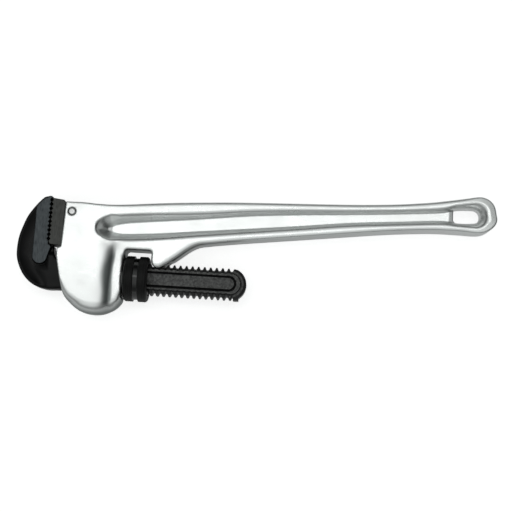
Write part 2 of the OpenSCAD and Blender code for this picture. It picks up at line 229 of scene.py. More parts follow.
def polygonise(field, low, high, size, plain=None):
    """Vertices and quads of the surface where the field is zero, in a box, on a grid of cells.
    plain is (x0, x1, factor): between x0 and x1 the cells are longer by the factor."""
    size = size * COARSE
    axes = [spaced(a - 1.5 * size, b + 1.5 * size, size) for a, b in zip(low, high)]
    if plain:
        x0, x1, factor = plain
        axes[0] = np.concatenate([spaced(axes[0][0], x0, size)[:-1], spaced(x0, x1, size * factor)[:-1],
                                  spaced(x1, axes[0][-1], size)])
    grid = [axes[0].astype(np.float32)[:, None, None], axes[1].astype(np.float32)[None, :, None],
            axes[2].astype(np.float32)[None, None, :]]
    shape = tuple(len(a) for a in axes)
    values = np.array(np.broadcast_to(field(*grid), shape), np.float32)
    inside = values < 0
    cuts = [tuple(slice(c, n - 1 + c) for c, n in zip(corner, shape)) for corner in CORNERS]
    count = sum(inside[c].astype(np.uint8) for c in cuts)
    active = (count > 0) & (count < 8)
    cells = np.argwhere(active)
    corner_values = np.stack([values[tuple((cells + c).T)] for c in CORNERS], 1)
    total = np.zeros((len(cells), 3))
    crossings = np.zeros(len(cells))
    for a, b in EDGES:
        va, vb = corner_values[:, a], corner_values[:, b]
        hit = (va < 0) != (vb < 0)
        t = (va[hit] / (va[hit] - vb[hit]))[:, None]
        total[hit] += CORNERS[a] + t * (CORNERS[b] - CORNERS[a])
        crossings[hit] += 1
    corner = np.stack([a[c] for a, c in zip(axes, cells.T)], 1)
    width = np.stack([a[c + 1] for a, c in zip(axes, cells.T)], 1) - corner
    points = corner + width * total / crossings[:, None]
    index = np.full(active.shape, -1, np.int64)
    index[active] = np.arange(len(cells))
    quads = []
    for axis in range(3):
        u, v = (axis + 1) % 3, (axis + 2) % 3
        below = inside[tuple(slice(0, -1) if a == axis else slice(None) for a in range(3))]
        above = inside[tuple(slice(1, None) if a == axis else slice(None) for a in range(3))]
        edges = np.argwhere(below != above)
        du, dv = np.eye(3, dtype=int)[u], np.eye(3, dtype=int)[v]
        quad = np.stack([index[tuple((edges - du - dv).T)], index[tuple((edges - dv).T)],
                         index[tuple(edges.T)], index[tuple((edges - du).T)]], 1)
        outward = below[tuple(edges.T)]
        quad[~outward] = quad[~outward][:, ::-1]
        quads.append(quad)
    quads = np.vstack(quads)
    assert quads.min() >= 0, "the surface leaves its box"
    points = settle(field, points, size, 1)
    points = settle(field, relaxed(points, quads, 0.5), size, 2)
    return settle(field, relaxed(points, quads, 0.25), size, 2), quads


def mesh_piece(name, points, faces, material, body, node=None):
    """A smooth shaded object from drawing frame points, riding on a body."""
    mesh = bpy.data.meshes.new(name)
    mesh.from_pydata([], [], [])
    mesh.vertices.add(len(points))
    mesh.vertices.foreach_set("co", placed(points).astype(np.float32).ravel())
    faces = np.asarray(faces)
    sides = faces.shape[1]
    mesh.loops.add(faces.size)
    mesh.loops.foreach_set("vertex_index", faces.ravel().astype(np.int32))
    mesh.polygons.add(len(faces))
    mesh.polygons.foreach_set("loop_start", np.arange(0, faces.size, sides, dtype=np.int32))
    mesh.polygons.foreach_set("use_smooth", np.ones(len(faces), bool))
    mesh.update(calc_edges=True)
    mesh.validate()
    piece = bpy.data.objects.new(name, mesh)
    bpy.context.scene.collection.objects.link(piece)
    for m in (material if isinstance(material, (list, tuple)) else [material]):
        mesh.materials.append(m)
    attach(piece, body)
    if node:
        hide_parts(node)
    return piece


def paint_faces(piece, chooser):
    """Sets each face's material number from chooser(x, y, z) of its centre, in drawing frame mm."""
    mesh = piece.data
    centres = np.zeros(len(mesh.polygons) * 3, np.float32)
    mesh.polygons.foreach_get("center", centres)
    x, y, z = drawn(centres.reshape(-1, 3)).T
    mesh.polygons.foreach_set("material_index", chooser(x, y, z).astype(np.int32))


# ------------------------------------------------------------------ materials
def new_material(name):
    material = bpy.data.materials.new(name)
    material.use_nodes = True
    tree = material.node_tree
    return material, tree, tree.nodes["Principled BSDF"]


def add(tree, kind, inputs=(), **settings):
    """A node with its settings and inputs given: a socket is linked, anything else is a value."""
    node = tree.nodes.new(kind)
    for key, value in settings.items():
        setattr(node, key, value)
    for key, value in dict(inputs).items():
        if isinstance(value, bpy.types.NodeSocket):
            tree.links.new(value, node.inputs[key])
        else:
            node.inputs[key].default_value = value
    return node


def noise(tree, where, scale, detail=4.0, roughness=0.55):
    return add(tree, "ShaderNodeTexNoise",
               {"Vector": where, "Scale": scale, "Detail": detail, "Roughness": roughness}).outputs["Fac"]


def stretched(tree, where, scale):
    return add(tree, "ShaderNodeMapping", {"Vector": where, "Scale": scale}).outputs["Vector"]


def ranged(tree, value, low, high, to_low, to_high):
    return add(tree, "ShaderNodeMapRange", {
        "Value": value, "From Min": low, "From Max": high, "To Min": to_low, "To Max": to_high,
    }).outputs["Result"]


def added(tree, a, b):
    return add(tree, "ShaderNodeMath", {0: a, 1: b}, operation="ADD").outputs[0]


def two_colours(tree, share, a, b):
    node = add(tree, "ShaderNodeMix", data_type="RGBA")
    tree.links.new(share, node.inputs["Factor"])
    node.inputs["A"].default_value = (*a, 1)
    node.inputs["B"].default_value = (*b, 1)
    return node.outputs["Result"]


def bump(tree, height, strength, distance, normal=None):
    inputs = {"Height": height, "Strength": strength, "Distance": distance}
    if normal is not None:
        inputs["Normal"] = normal
    return add(tree, "ShaderNodeBump", inputs).outputs["Normal"]


# pairs of colours that a material wanders between
POLISHED = (0.84, 0.86, 0.855), (0.91, 0.915, 0.91)
# darker colour of the handle's flanks: cast skin, and also painted shade
CAST_SKIN_AND_SHADE = (0.16, 0.176, 0.172), (0.27, 0.288, 0.284)
GRIND_ALONG_TEETH = (1100, 120, 1100)           # noise scales: the lines run along Y
DRAWN_WIRE = (200, 3000, 3000)


def aluminium():
    """Cast aluminium: flats and crests belt polished along the handle; flanks take a darker colour from the
    flank attribute, which is partly cast skin and partly painted shade.
    """
    material, tree, shader = new_material("cast_aluminium")
    where = add(tree, "ShaderNodeTexCoord").outputs["Object"]
    clouds = noise(tree, where, 38)
    pits = noise(tree, where, 900, 3, 0.6)
    grain = noise(tree, stretched(tree, where, (90, 2600, 2600)), 1, 3, 0.6)
    # the flank attribute mixes in the darker colour: partly cast skin, partly painted shade on sideways faces
    # and in the hollow beside the window
    flank = add(tree, "ShaderNodeAttribute", attribute_name="flank").outputs["Fac"]
    polished = two_colours(tree, clouds, *POLISHED)
    skin = two_colours(tree, pits, *CAST_SKIN_AND_SHADE)
    blend = add(tree, "ShaderNodeMix", data_type="RGBA")
    tree.links.new(flank, blend.inputs["Factor"])
    tree.links.new(polished, blend.inputs["A"])
    tree.links.new(skin, blend.inputs["B"])
    tree.links.new(blend.outputs["Result"], shader.inputs["Base Color"])
    rough = added(tree, ranged(tree, clouds, 0.3, 0.7, 0.26, 0.34),
                  ranged(tree, grain, 0.3, 0.7, -0.03, 0.04))
    tree.links.new(added(tree, rough, ranged(tree, flank, 0, 1, 0, 0.08)), shader.inputs["Roughness"])
    normal = bump(tree, pits, 0.12, 0.0002)
    tree.links.new(bump(tree, grain, 0.06, 0.0002, normal), shader.inputs["Normal"])
    shader.inputs["Metallic"].default_value = 1.0
    return material


def black_coat(name, base, light, roughness, texture, gloss, mottle=60, ior=None):
    """Black coated forging: slight orange peel, and a little paler where it has been handled.
    roughness is its low and high end, and mottle the noise scale of the paler spots."""
    material, tree, shader = new_material(name)
    where = add(tree, "ShaderNodeTexCoord").outputs["Object"]
    clouds = noise(tree, where, mottle)
    peel = noise(tree, where, 700, 3, 0.5)
    tree.links.new(two_colours(tree, ranged(tree, clouds, 0.35, 0.75, 0, 1), base, light),
                   shader.inputs["Base Color"])
    tree.links.new(ranged(tree, clouds, 0.3, 0.7, *roughness), shader.inputs["Roughness"])
    tree.links.new(bump(tree, peel, texture, 0.0003), shader.inputs["Normal"])
    shader.inputs["Specular IOR Level"].default_value = gloss
    if ior:
        shader.inputs["IOR"].default_value = ior
    return material


def ground_steel(name, base, light, grain_scale, roughness):
    """Dark ground steel: fine lines along the grinding direction over a mottled heat treated grey."""
    material, tree, shader = new_material(name)
    where = add(tree, "ShaderNodeTexCoord").outputs["Object"]
    lines = noise(tree, stretched(tree, where, grain_scale), 1, 3, 0.65)
    mottle = noise(tree, where, 160, 4)
    share = added(tree, ranged(tree, lines, 0.3, 0.7, 0, 0.75), ranged(tree, mottle, 0.3, 0.7, 0, 0.25))
    tree.links.new(two_colours(tree, share, base, light), shader.inputs["Base Color"])
    tree.links.new(ranged(tree, lines, 0.3, 0.7, roughness - 0.06, roughness + 0.08),
                   shader.inputs["Roughness"])
    tree.links.new(bump(tree, lines, 0.25, 0.0001), shader.inputs["Normal"])
    shader.inputs["Metallic"].default_value = 0.75
    return material


ALUMINIUM = aluminium()
BLACK = black_coat(
    "black_coat", (0.002, 0.002, 0.0022), (0.004, 0.004, 0.0046), (0.26, 0.38), texture=0.12, gloss=0.17)
NUT_BLACK = black_coat(
    "nut_black", (0.004, 0.004, 0.004), (0.008, 0.008, 0.008), (0.34, 0.46), texture=0.10, gloss=0.2)
THREAD_BLACK = black_coat(
    "thread_black", (0.012, 0.012, 0.012), (0.03, 0.03, 0.03), (0.28, 0.4), texture=0.15, gloss=0.5)
WORN_BLACK = black_coat(
    "turned_groove", (0.002, 0.002, 0.002), (0.004, 0.004, 0.004), (0.1, 0.16), texture=0.03, gloss=0.26,
    ior=1.9)
TOOTH_BLACK = black_coat(
    "tooth_flank", (0.0015, 0.0015, 0.0015), (0.003, 0.003, 0.003), (0.6, 0.75), texture=0.1, gloss=0.02)
SHANK_GREY = black_coat(
    "shank_grey", (0.05, 0.051, 0.05), (0.19, 0.19, 0.187), (0.5, 0.62), texture=0.3, gloss=0.3, mottle=420)
PAD_GREY = ground_steel(
    "pad_grey", (0.03, 0.035, 0.04), (0.125, 0.14, 0.148), GRIND_ALONG_TEETH, roughness=0.48)
HEEL_GREY = ground_steel(
    "heel_grey", (0.03, 0.03, 0.028), (0.115, 0.117, 0.111), GRIND_ALONG_TEETH, roughness=0.48)
PIN_BRIGHT = ground_steel(
    "pin_bright", (0.62, 0.63, 0.63), (0.82, 0.82, 0.81), (900, 900, 900), roughness=0.3)
SPRING_STEEL = ground_steel(
    "spring_steel", (0.16, 0.17, 0.2), (0.34, 0.35, 0.4), DRAWN_WIRE, roughness=0.32)

# ------------------------------------------------------------------ handle
HEAD_T, CHEEK_T, GRIP_T, WEB_T = 20.0, 14.5, 13.5, 4.5     # half thicknesses
END_BEVEL = 0.15                                # slope of the bevel round the loop's outside
STEP_X, STEP_Y = 15.2, 28.2                     # inner corner under the heel jaw
WINDOW_X0, WINDOW_X1, WINDOW_Y, WINDOW_R = 83.2, 111.4, 30.0, 3.0
OUTLINE_CELL = 0.35                             # spacing of the lattice that holds a distance

# hollow beside the nut's window: where it starts and ends at the bottom and the top of the head
HOLLOW_START, HOLLOW_END = (49.5, 54.0), (73.7, 75.3)
HOLLOW_DROP, HOLLOW_POWER, HOLLOW_FILLET = 8.6, 2.1, 2.2
RIDGE_X, RIDGE_CURVE = 77.3, 60                 # the ridge falls off as (distance from RIDGE_X)^2 / curve

# radii of the casting's edges
FRONT_EDGE_R, HEAD_EDGE_R, BELOW_EDGE_R = 1.0, 2.2, 13.0
GRIP_EDGE_R = (4.1, 4.9)                        # upper and lower edge
WINDOW_EDGE_R = (3.0, 7.0)                      # round the window, and low on its head side
BRACKET_EDGE_R, LOOP_EDGE_R = 6.5, 1.8

# recess: its rounded sides over X, the rise of its floor at the tip and its drop in front of the hole
BEAD_X = (50, 54, 57, 60, 64, 70, 75, 85, 160, 267, 320, 375, 417, 440, 455, 464)
UPPER_BEAD = (12.8, 11.8, 10.9, 10.6, 10.2, 9.1, 8.2, 8.0, 7.2, 5.8, 4.6, 3.9, 4.8, 5.2, 7.0, 8.5)
LOWER_BEAD = (12.8, 11.8, 10.9, 10.6, 10.4, 9.7, 9.2, 9.4, 8.2, 7.2, 7.2, 6.6, 6.6, 6.0, 7.0, 8.5)
POWER_X = (66, 76, 110, 300, 440, 458)
BEAD_POWER = (1.02, 1.35, 1.35, 1.9, 1.8, 1.25)     # 2 would be an ellipse, 1 a straight slope
CREST_BLEND = 2.4
TIP_X, TIP_LENGTH, TIP_SLOPE = 67, 12, 0.38
LEDGE_X, LEDGE_LENGTH, LEDGE_DROP = 428.4, 4.1, 0.85
HOLE_X, HOLE_Y, HOLE_CORNER_R = 448.4, 89.4, 4.0
HOLE_HALF_X, HOLE_HALF_Y = 11.0, 3.7            # to the middles of its corners

# hollows of the head, as the low and high corners of boxes, and the coil spring's blind hole
PASSAGE = (-5, -21.0, -10.6), (WINDOW_X0 + 2, 18.1, 10.6)
BRACKET_GAP = (WINDOW_X1 - 2, -21.0, -10.6), (164, 20.1, 10.6)
LEAF_POCKET = (25, 0, -6.6), (81, 20.7, 6.6)
HEEL_SLOT = (5, 37.85, -6.15), (31.15, 74.5, 6.15)
WELL_X, WELL_R, WELL_DEPTH = 44, 6.0, 34
PIN_MOUTH_R, PIN_MOUTH_DEPTH, PIN_GAP = 4.4, 2.6, 0.25

# cast skin left on the handle, together with painted shade on its flanks: its share over X, and its factor in
# the recess
SKIN_X, SKIN_AND_SHADE = (90, 150, 300, 440), (1.0, 0.62, 0.42, 0.2)
RECESS_SKIN_AND_SHADE = 0.2

HANDLE_OUTLINE = Outline(
    curve((16.9, 76.9), (34, 77.3), (51, 76.5), (66, 76.5), (84.6, 78.1), (105.7, 80.7),
          (137.6, 84.1), (180.5, 87.4), (223.7, 89.6), (266.9, 91.3), (310, 93.1), (342.4, 94.9),
          (374.7, 97.4), (406.9, 101.2), (428.4, 104.8), (449.9, 108.8), (456, 109.9),
          (461, 110.5), (465, 110.1), (469, 108.6), (472.6, 106.2), (475.6, 102.6), (477.4, 98.5),
          (478.5, 93), (479.6, 87), (478.6, 82), (475, 77.2), (470, 73.4), (464, 71.1), (455, 70.4),
          (432.7, 70.5), (410.8, 70.1), (378.2, 67.6),
          (350.6, 64.6), (323.9, 61.2), (269.6, 54.2), (215.5, 47.3), (190, 43.8), (174, 41.4),
          (163.5, 39.4), (156, 36.2), (149.5, 31.9), (140, 24.4), (130, 17.0), (124, 13.4),
          (119, 12.0), (115, 13.0), (112.2, 16.2), (WINDOW_X1, 20))
    + [(WINDOW_X1, 20)]
    + arc(WINDOW_X1 - WINDOW_R, WINDOW_Y - WINDOW_R, WINDOW_R, 0, 90, 6)
    + arc(WINDOW_X0 + WINDOW_R, WINDOW_Y - WINDOW_R, WINDOW_R, 90, 180, 6)
    + curve((WINDOW_X0, 26), (WINDOW_X0, 0), (WINDOW_X0, -21), (82.6, -26.2), (79.6, -31),
            (73.8, -36.0), (65.1, -39.8), (55.9, -41.2), (46.6, -40.6), (40.2, -38.9),
            (35.2, -36.3), (28.6, -31.2), (22.4, -24.6), (18.9, -17), (16.4, -6), (13.8, 5),
            (12, 13), (11.1, 20), (11.1, 26.4))
    + [(11.1, 26.4), (STEP_X, STEP_Y)], OUTLINE_CELL)

FLOOR_OUTLINE = Outline(
    curve((62.2, 51.6), (63.8, 53.5), (67.0, 55.3), (72, 57.4), (84.8, 60.1), (120, 64.2),
          (160, 68.8), (214, 75.6), (267.7, 80.2), (321.6, 83.8), (375.6, 87.9), (418.7, 91.8),
          (436, 96.2), (448, 97.4))
    + arc(454.6, 89.8, 7.7, 95, -95, 14)
    + curve((452, 81.8), (438, 81.0), (419, 82.2), (375.9, 78.6), (322, 73.9), (268.3, 67.2),
            (214, 60.9), (160.9, 54.9), (120, 50.2), (85.7, 47.3), (74, 47.2), (68, 48.2),
            (64.2, 49.6), (62.2, 51.6)), OUTLINE_CELL)


def across_hollow(x, y):
    """Place across the hollow, from the head's flat (0) to where it would end without the ridge (1)."""
    up = step(-15, 32, y)
    start, end = mix(*HOLLOW_START, up), mix(*HOLLOW_END, up)
    return (x - start) / (end - start)


def half_thickness(x, y):
    """Half thickness of the casting before the recess is cut: a thick flat head that rolls down to a
    low ridge in front of the nut's window, and a long slow taper along the upper flange."""
    taper = (CHEEK_T - GRIP_T) * step(120, 190, x)
    roll = HEAD_T - HOLLOW_DROP * np.clip(across_hollow(x, y), 0, 1.1) ** HOLLOW_POWER
    ridge = CHEEK_T - np.clip(RIDGE_X - x, 0, None) ** 2 / RIDGE_CURVE - taper
    low = -blend_min(-roll, -ridge, HOLLOW_FILLET)
    ramp = HEAD_T - (HEAD_T - CHEEK_T) * step(50, 84, x) - taper
    low = mix(low, ramp, step(26, 39, y))
    high = HEAD_T - (HEAD_T - GRIP_T) * step(48, 180, x)
    return mix(low, high, step(44, 60, y - 0.02 * (x - 60)))


def edge_radius(x, y):
    """Radius of the casting's edges: crisp in front, wide under the head and on the grip."""
    lower = step(7, -1, y - (60 + 0.085 * (x - 160)))
    r = mix(HEAD_EDGE_R, mix(*GRIP_EDGE_R, lower), step(40, 120, x))
    r = mix(r, FRONT_EDGE_R, step(24, 16, x))
    below = mix(FRONT_EDGE_R, BELOW_EDGE_R, np.clip(-4 - y, 0, 26) / 26)
    r = mix(r, below, step(0, -6, y))
    beside = np.maximum((WINDOW_X0 - 3 - x) / 2, x - WINDOW_X1 - 1)
    window = step(5, 2, beside) * step(36, 33, y) * step(-20, -6, y)
    head_side = step(90, 84, x) * step(28, 20, y)
    r = mix(r, mix(*WINDOW_EDGE_R, head_side), window)
    bracket = step(118, 127, x) * step(172, 160, x) * step(46, 38, y)
    r = mix(r, BRACKET_EDGE_R, bracket)
    return mix(r, LOOP_EDGE_R, step(440, 462, x))


def bead_width(x, y):
    """Width of the rounded inner side of the flanges, from the recess's floor to its crest."""
    upper = step(-3, 3, y - (51 + (x - 60) * 0.104))
    return mix(np.interp(x, BEAD_X, LOWER_BEAD), np.interp(x, BEAD_X, UPPER_BEAD), upper)


def hole_distance(x, y):
    """Distance to the hanging hole, a rectangle with round corners."""
    along = np.maximum(np.abs(x - HOLE_X) - HOLE_HALF_X, 0)
    across = np.maximum(np.abs(y - HOLE_Y) - HOLE_HALF_Y, 0)
    return np.hypot(along, across) - HOLE_CORNER_R


def handle_field(x, y, z):
    """The casting: outside shape, a recess with rounded sides on both faces, and the hollows inside."""
    depth = np.abs(z)
    side = HANDLE_OUTLINE(x, y)
    top = half_thickness(x, y) - END_BEVEL * np.clip(side + 7, 0, 12) * step(440, 466, x)
    outer = rounded(side, depth - top, edge_radius(x, y))
    floor = FLOOR_OUTLINE(x, y)
    width = bead_width(x, y)
    height = top - WEB_T
    along = np.clip(width - floor, 0, None) / width
    up = np.clip(depth - WEB_T, 0, None) / height
    power = np.interp(x, POWER_X, BEAD_POWER)
    reach = np.maximum((along ** power + up ** power) ** (1 / power), 1e-6)
    slope = np.hypot((along / reach) ** (power - 1) / width, (up / reach) ** (power - 1) / height)
    bead = (reach - 1) / np.maximum(slope, 0.05)
    ledge = LEDGE_DROP * np.clip((x - LEDGE_X) / LEDGE_LENGTH, 0, 1)
    ramp = TIP_SLOPE * np.clip(TIP_X - x, 0, TIP_LENGTH)
    web = blend_max(depth - WEB_T + ledge - ramp, -hole_distance(x, y), 1.2)
    solid = blend_max(outer, blend_min(bead, web, 0.6), CREST_BLEND)
    well = np.maximum(np.hypot(x - WELL_X, z) - WELL_R, np.abs(y - WELL_DEPTH / 2) - WELL_DEPTH / 2)
    for low, high in (PASSAGE, BRACKET_GAP, LEAF_POCKET, HEEL_SLOT):
        well = np.minimum(well, box_distance(x, y, z, low, high))
    solid = blend_max(solid, -well, 0.9)
    pin_hole_r = np.where(depth > HEAD_T - PIN_MOUTH_DEPTH, PIN_MOUTH_R, PIN_R + PIN_GAP)
    return blend_max(solid, pin_hole_r - np.hypot(x - PIN_X, y - PIN_Y), 0.5)


def mark_skin_and_shade(piece):
    """Stores on each vertex as "flank" how much of the darker skin colour it gets, partly cast skin and
    partly painted shade: more as the surface turns sideways, all of it on the head's edges and in the hollow
    beside the window, where it paints that hollow's shade, little in the recess, and less and less towards
    the end of the grip."""
    mesh = piece.data
    normals = np.zeros(len(mesh.vertices) * 3, np.float32)
    mesh.vertex_normals.foreach_get("vector", normals)
    # painted shade: faces that turn sideways get the darker colour, partly as cast skin
    flank = 1 - step(0.25, 0.96, np.abs(normals.reshape(-1, 3)[:, 2]))
    spots = np.zeros(len(mesh.vertices) * 3, np.float32)
    mesh.vertices.foreach_get("co", spots)
    x, y, _ = drawn(spots.reshape(-1, 3)).T
    depth = -HANDLE_OUTLINE(x, y)
    outside = np.maximum(step(5, 1.5, depth), step(8, -2, y))
    flank = flank * np.interp(x, SKIN_X, SKIN_AND_SHADE) * mix(RECESS_SKIN_AND_SHADE, 1, outside)
    # painted shade in the hollow, as a band of the darker skin colour: further from the flat at its lower
    # end, softer at its upper one
    place = across_hollow(x, y)
    lower, upper = step(6, -20, y), step(8, 26, y)
    rise = step(0.22 + 0.22 * lower, 0.60 + 0.10 * lower + 0.20 * upper, place)
    fall = step(0.95 + 0.05 * lower + 0.04 * upper, 0.81 + 0.07 * lower + 0.05 * upper, place)
    hollow = rise * fall * step(38, 20, y) * step(6, 11, depth)
    # the hollow's painted shade joins the skin colour
    flank = np.maximum(flank, hollow)
    mesh.attributes.new("flank", "FLOAT", "POINT").data.foreach_set("value", flank.astype(np.float32))


def make_handle():
    low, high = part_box("handle")
    points, faces = polygonise(handle_field, drawn(low), drawn(high), HANDLE_CELL, plain=PLAIN_GRIP)
    mark_skin_and_shade(mesh_piece("handle_casting", points, faces, ALUMINIUM, "frame", "handle"))


# ------------------------------------------------------------------ jaws
TOOTH_PITCH, TOOTH_DEPTH, TEETH_Y0, TEETH_N = 4.7, 1.9, 34.1, 10
TEETH_Y1 = TEETH_Y0 + TEETH_N * TOOTH_PITCH
JAW_T, SHANK_T = 12.5, 10.0                     # half thicknesses
TONGUE_T = 6.0
TROUGH_T, BANK_T = 7.5, 11.7                    # at the floor and the outer bank of the hook's trough
CREST_R, ROOT_R, SCREW_PITCH, GROOVE_X0 = 17.5, 14.3, 6.5, 80.8
THREAD_X1 = 201                                 # the screw's last turn
GROOVE_ROOT, GROOVE_FLARE = 1.1, 0.4325         # half width at the root, and its growth per mm
SHOULDER_X = 6.2                                # the hook's shoulder under the heel jaw
SHANK_END = 214.5
SLIDE = 91.0                                    # how far the jaw slides out
LIP_X = NUT_X1 + SLIDE + 1.2                    # the stop under the shank's end, clear of the nut
LIP_X1, LIP_Y0, LIP_Y1, LIP_T = 206.6, -17.1, -12, 6.0
LINE_Y, LINE_END, LINE_DEPTH, LINE_HALF = 7.4, 195.2, 1.9, 1.35     # the line round the raised oval
OVAL_R, RING_R, RING_CUT = 11.0, 12.0, 1.2      # end of the oval, and the groove round it
RIM_R0, RIM_R1 = 12.9, 14.6                     # worn rim outside that groove


def tooth_edge(x, side):
    """Points of a toothed face going up: side is 1 where the metal is at +X."""
    points = []
    for i in range(TEETH_N):
        points.append((x, TEETH_Y0 + i * TOOTH_PITCH))
        points.append((x + side * TOOTH_DEPTH, TEETH_Y0 + (i + 0.5) * TOOTH_PITCH))
    return points


HEEL_OUTLINE = Outline(
    tooth_edge(TOOTH_GAP / 2, 1)
    + [(TOOTH_GAP / 2, TEETH_Y1 - 0.05), (1.3, HEEL_TOP), (13.2, HEEL_TOP - 1.4), (14.8, HEEL_TOP - 3),
       (14.8, 30), (1.7, 31)], 0.15)

HOOK_OUTLINE = Outline(
    [(-TOOTH_GAP / 2, TEETH_Y1), (0.3, 82.9)]
    + curve((0.3, 82.9), (-3, 83.1), (-8, 81.9), (-13.2, 77.2), (-19.6, 68.9), (-25.2, 59.7),
            (-29.8, 47.2), (-32.6, 36.4), (-33.5, 24.5), (-32.9, 15.5), (-30.3, 7.2), (-25.9, -1.2),
            (-21, -7.2), (-15.2, -12), (-8.5, -15.3), (0, -17.2), (8, -17.5))
    + [(36, -CREST_R), (36, CREST_R)]
    + curve((12, CREST_R), (8.8, 18), (SHOULDER_X + 0.8, 24), (SHOULDER_X, 28.6), (SHOULDER_X - 1, 29.8),
            (-TOOTH_GAP / 2, 30.1))
    + [(-TOOTH_GAP / 2, 30.1)] + tooth_edge(-TOOTH_GAP / 2, -1), 0.2)

PAD_OUTLINE = Outline(
    [(-0.2, 17), (3, 28), (3, 90), (-7, 90)]
    + curve((-9, 80.5), (-13.6, 74.5), (-15.2, 68), (-15.5, 60), (-15.6, 26))
    + arc(-7.9, 17.2, 7.7, 180, 350, 12), 0.25)


def heel_field(x, y, z):
    """Toothed block with a tongue at its back, and the pin's hole through the tongue."""
    depth = np.abs(z)
    front = rounded(HEEL_OUTLINE(x, y), depth - JAW_T, 0.35)
    tongue = box_distance(x, y, z, (14, 38, -TONGUE_T), (HEEL_BACK, HEEL_TOP - 4, TONGUE_T))
    solid = np.minimum(front, tongue)
    return np.maximum(solid, -(np.hypot(x - PIN_X, y - PIN_Y) - PIN_R - 0.15))


def make_heel_jaw():
    low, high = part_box("heel_jaw")
    points, faces = polygonise(heel_field, drawn(low), drawn(high), HEEL_CELL)
    piece = mesh_piece("heel_jaw_insert", points, faces, [HEEL_GREY, TOOTH_BLACK],
                       "frame", "heel_jaw")
    paint_faces(piece, lambda x, y, z: (x < 2.6) & (np.abs(z) < JAW_T - 0.2))


def screw_distance(x, y, z):
    """Threaded round bar: a core with a right handed ridge wound round it, plain at both ends."""
    r = np.hypot(y, z)
    turn = np.arctan2(z, y) / (2 * math.pi)
    u = (x - GROOVE_X0) / SCREW_PITCH - turn
    from_groove = np.abs(u - np.round(u)) * SCREW_PITCH
    plain = (x < GROOVE_X0 - 3) | (x > THREAD_X1)
    from_groove = np.where(plain, SCREW_PITCH, from_groove)
    flank = (GROOVE_ROOT + (r - ROOT_R) * GROOVE_FLARE - from_groove) / math.hypot(1, GROOVE_FLARE)
    tooth = blend_max(r - CREST_R, flank, 0.5)
    return blend_min(r - ROOT_R, tooth, 0.6)


def capsule(x, y, x0, x1):
    """Distance to a line on the shank's axis."""
    return np.hypot(np.maximum(np.maximum(x0 - x, x - x1), 0), y)


def hook_field(x, y, z):
    """The jaw near the origin, mixed over into the threaded shank between X 2 and 24."""
    depth = np.abs(z)
    side = HOOK_OUTLINE(x, y)
    pad = PAD_OUTLINE(x, y)
    # jaw: flat pad, rim round the back, trough between them that rises into the neck
    neck = np.maximum(step(-17, 0, x + 0.4 * y) * step(13, 1, y), step(-6, 3, x) * step(24, 18, y))
    rim = step(8, -4, x) * (1 - 0.9 * step(-12, 2, x))
    bank = np.clip((side + 13.5) / 11, 0, 1) ** 1.4 * rim
    trough = mix(mix(TROUGH_T, BANK_T, bank), SHANK_T, neck * (1 - bank))
    top = mix(trough, JAW_T, step(1.0, -0.1, pad))
    top = mix(top, SHANK_T, step(4, 9, x))
    flat = step(-4.5, -2.0, x) * step(14, 18, y) * step(3.5, 1, x)
    radius = mix(mix(3.4, 0.35, flat), 2.4, step(1, 8, x))
    jaw = rounded(side, depth - top, radius)
    # shank: threaded bar with raised flat sides and a rounded end
    end_x = SHANK_END - CREST_R
    from_end = np.hypot(np.maximum(x - end_x, 0), y)
    line = np.abs(capsule(x, y, 0, LINE_END) - LINE_Y)
    cut = LINE_DEPTH * np.clip(1 - line / LINE_HALF, 0, 1) * step(20, 24, x)
    ring = np.abs(from_end - RING_R) + 3 * (x < end_x)
    cut = np.maximum(cut, RING_CUT * np.clip(1 - ring, 0, 1))
    shoulder = 0.55 * np.clip(from_end - OVAL_R - 0.4, 0, None) * step(16, 24, x)
    sides = depth - (SHANK_T - cut - shoulder)
    bar = screw_distance(x, y, z)
    bar = np.where(x > end_x, blend_max(bar, from_end - CREST_R, 1.0), bar)
    shank = rounded(bar, sides, 0.45)
    lip = box_distance(x, y, z, (LIP_X, LIP_Y0, -LIP_T), (LIP_X1, LIP_Y1, LIP_T)) - 0.35
    shank = blend_min(shank, lip, 0.8)
    return mix(jaw, shank, step(2, 24, x))


def make_hook_jaw():
    low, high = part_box("hook_jaw")
    points, faces = polygonise(hook_field, drawn(low), drawn(high), HOOK_CELL)
    looks = [BLACK, PAD_GREY, SHANK_GREY, THREAD_BLACK, TOOTH_BLACK]
    piece = mesh_piece("hook_jaw_forging", points, faces, looks, "jaw", "hook_jaw")

    def choose(x, y, z):
        depth = np.abs(z)
        teeth = (y > TEETH_Y0 - 1) & (x > -2.6) & (depth < JAW_T - 0.25)
        pad = (PAD_OUTLINE(x, y) < 0.1) & (depth > JAW_T - 0.25)
        line = np.abs(capsule(x, y, 0, LINE_END) - LINE_Y) < LINE_HALF - 0.05
        from_end = np.hypot(np.maximum(x - SHANK_END + CREST_R, 0), y)
        land = (x > 20) & (depth > SHANK_T - 0.3) & ~line & (from_end < OVAL_R)
        rim = (x > SHANK_END - CREST_R) & (from_end > RIM_R0) & (from_end < RIM_R1) & (depth > 7)
        thread = (x > 20) & (depth < SHANK_T - 0.3) & (from_end > RING_R)
        return np.select([teeth, pad, land | rim, thread], [4, 1, 2, 3], 0)

    paint_faces(piece, choose)


# ------------------------------------------------------------------ nut
KNURL_PITCH, KNURL_DEPTH = 1.8, 0.4
RING_PITCH, RING_DEPTH = 2.4, 0.25              # faint turned rings across each band
NUT_GROOVE, NUT_GROOVE_DEPTH = 5.4, 2.3         # plain groove round the middle
NUT_CHAMFER = 2.0
NUT_BORE = 17.75
THREAD_GAP = 0.32                               # between the nut's ridge and the shank's groove
RIDGE_HALF = 10                                 # how far the ridge reaches each way along the bore


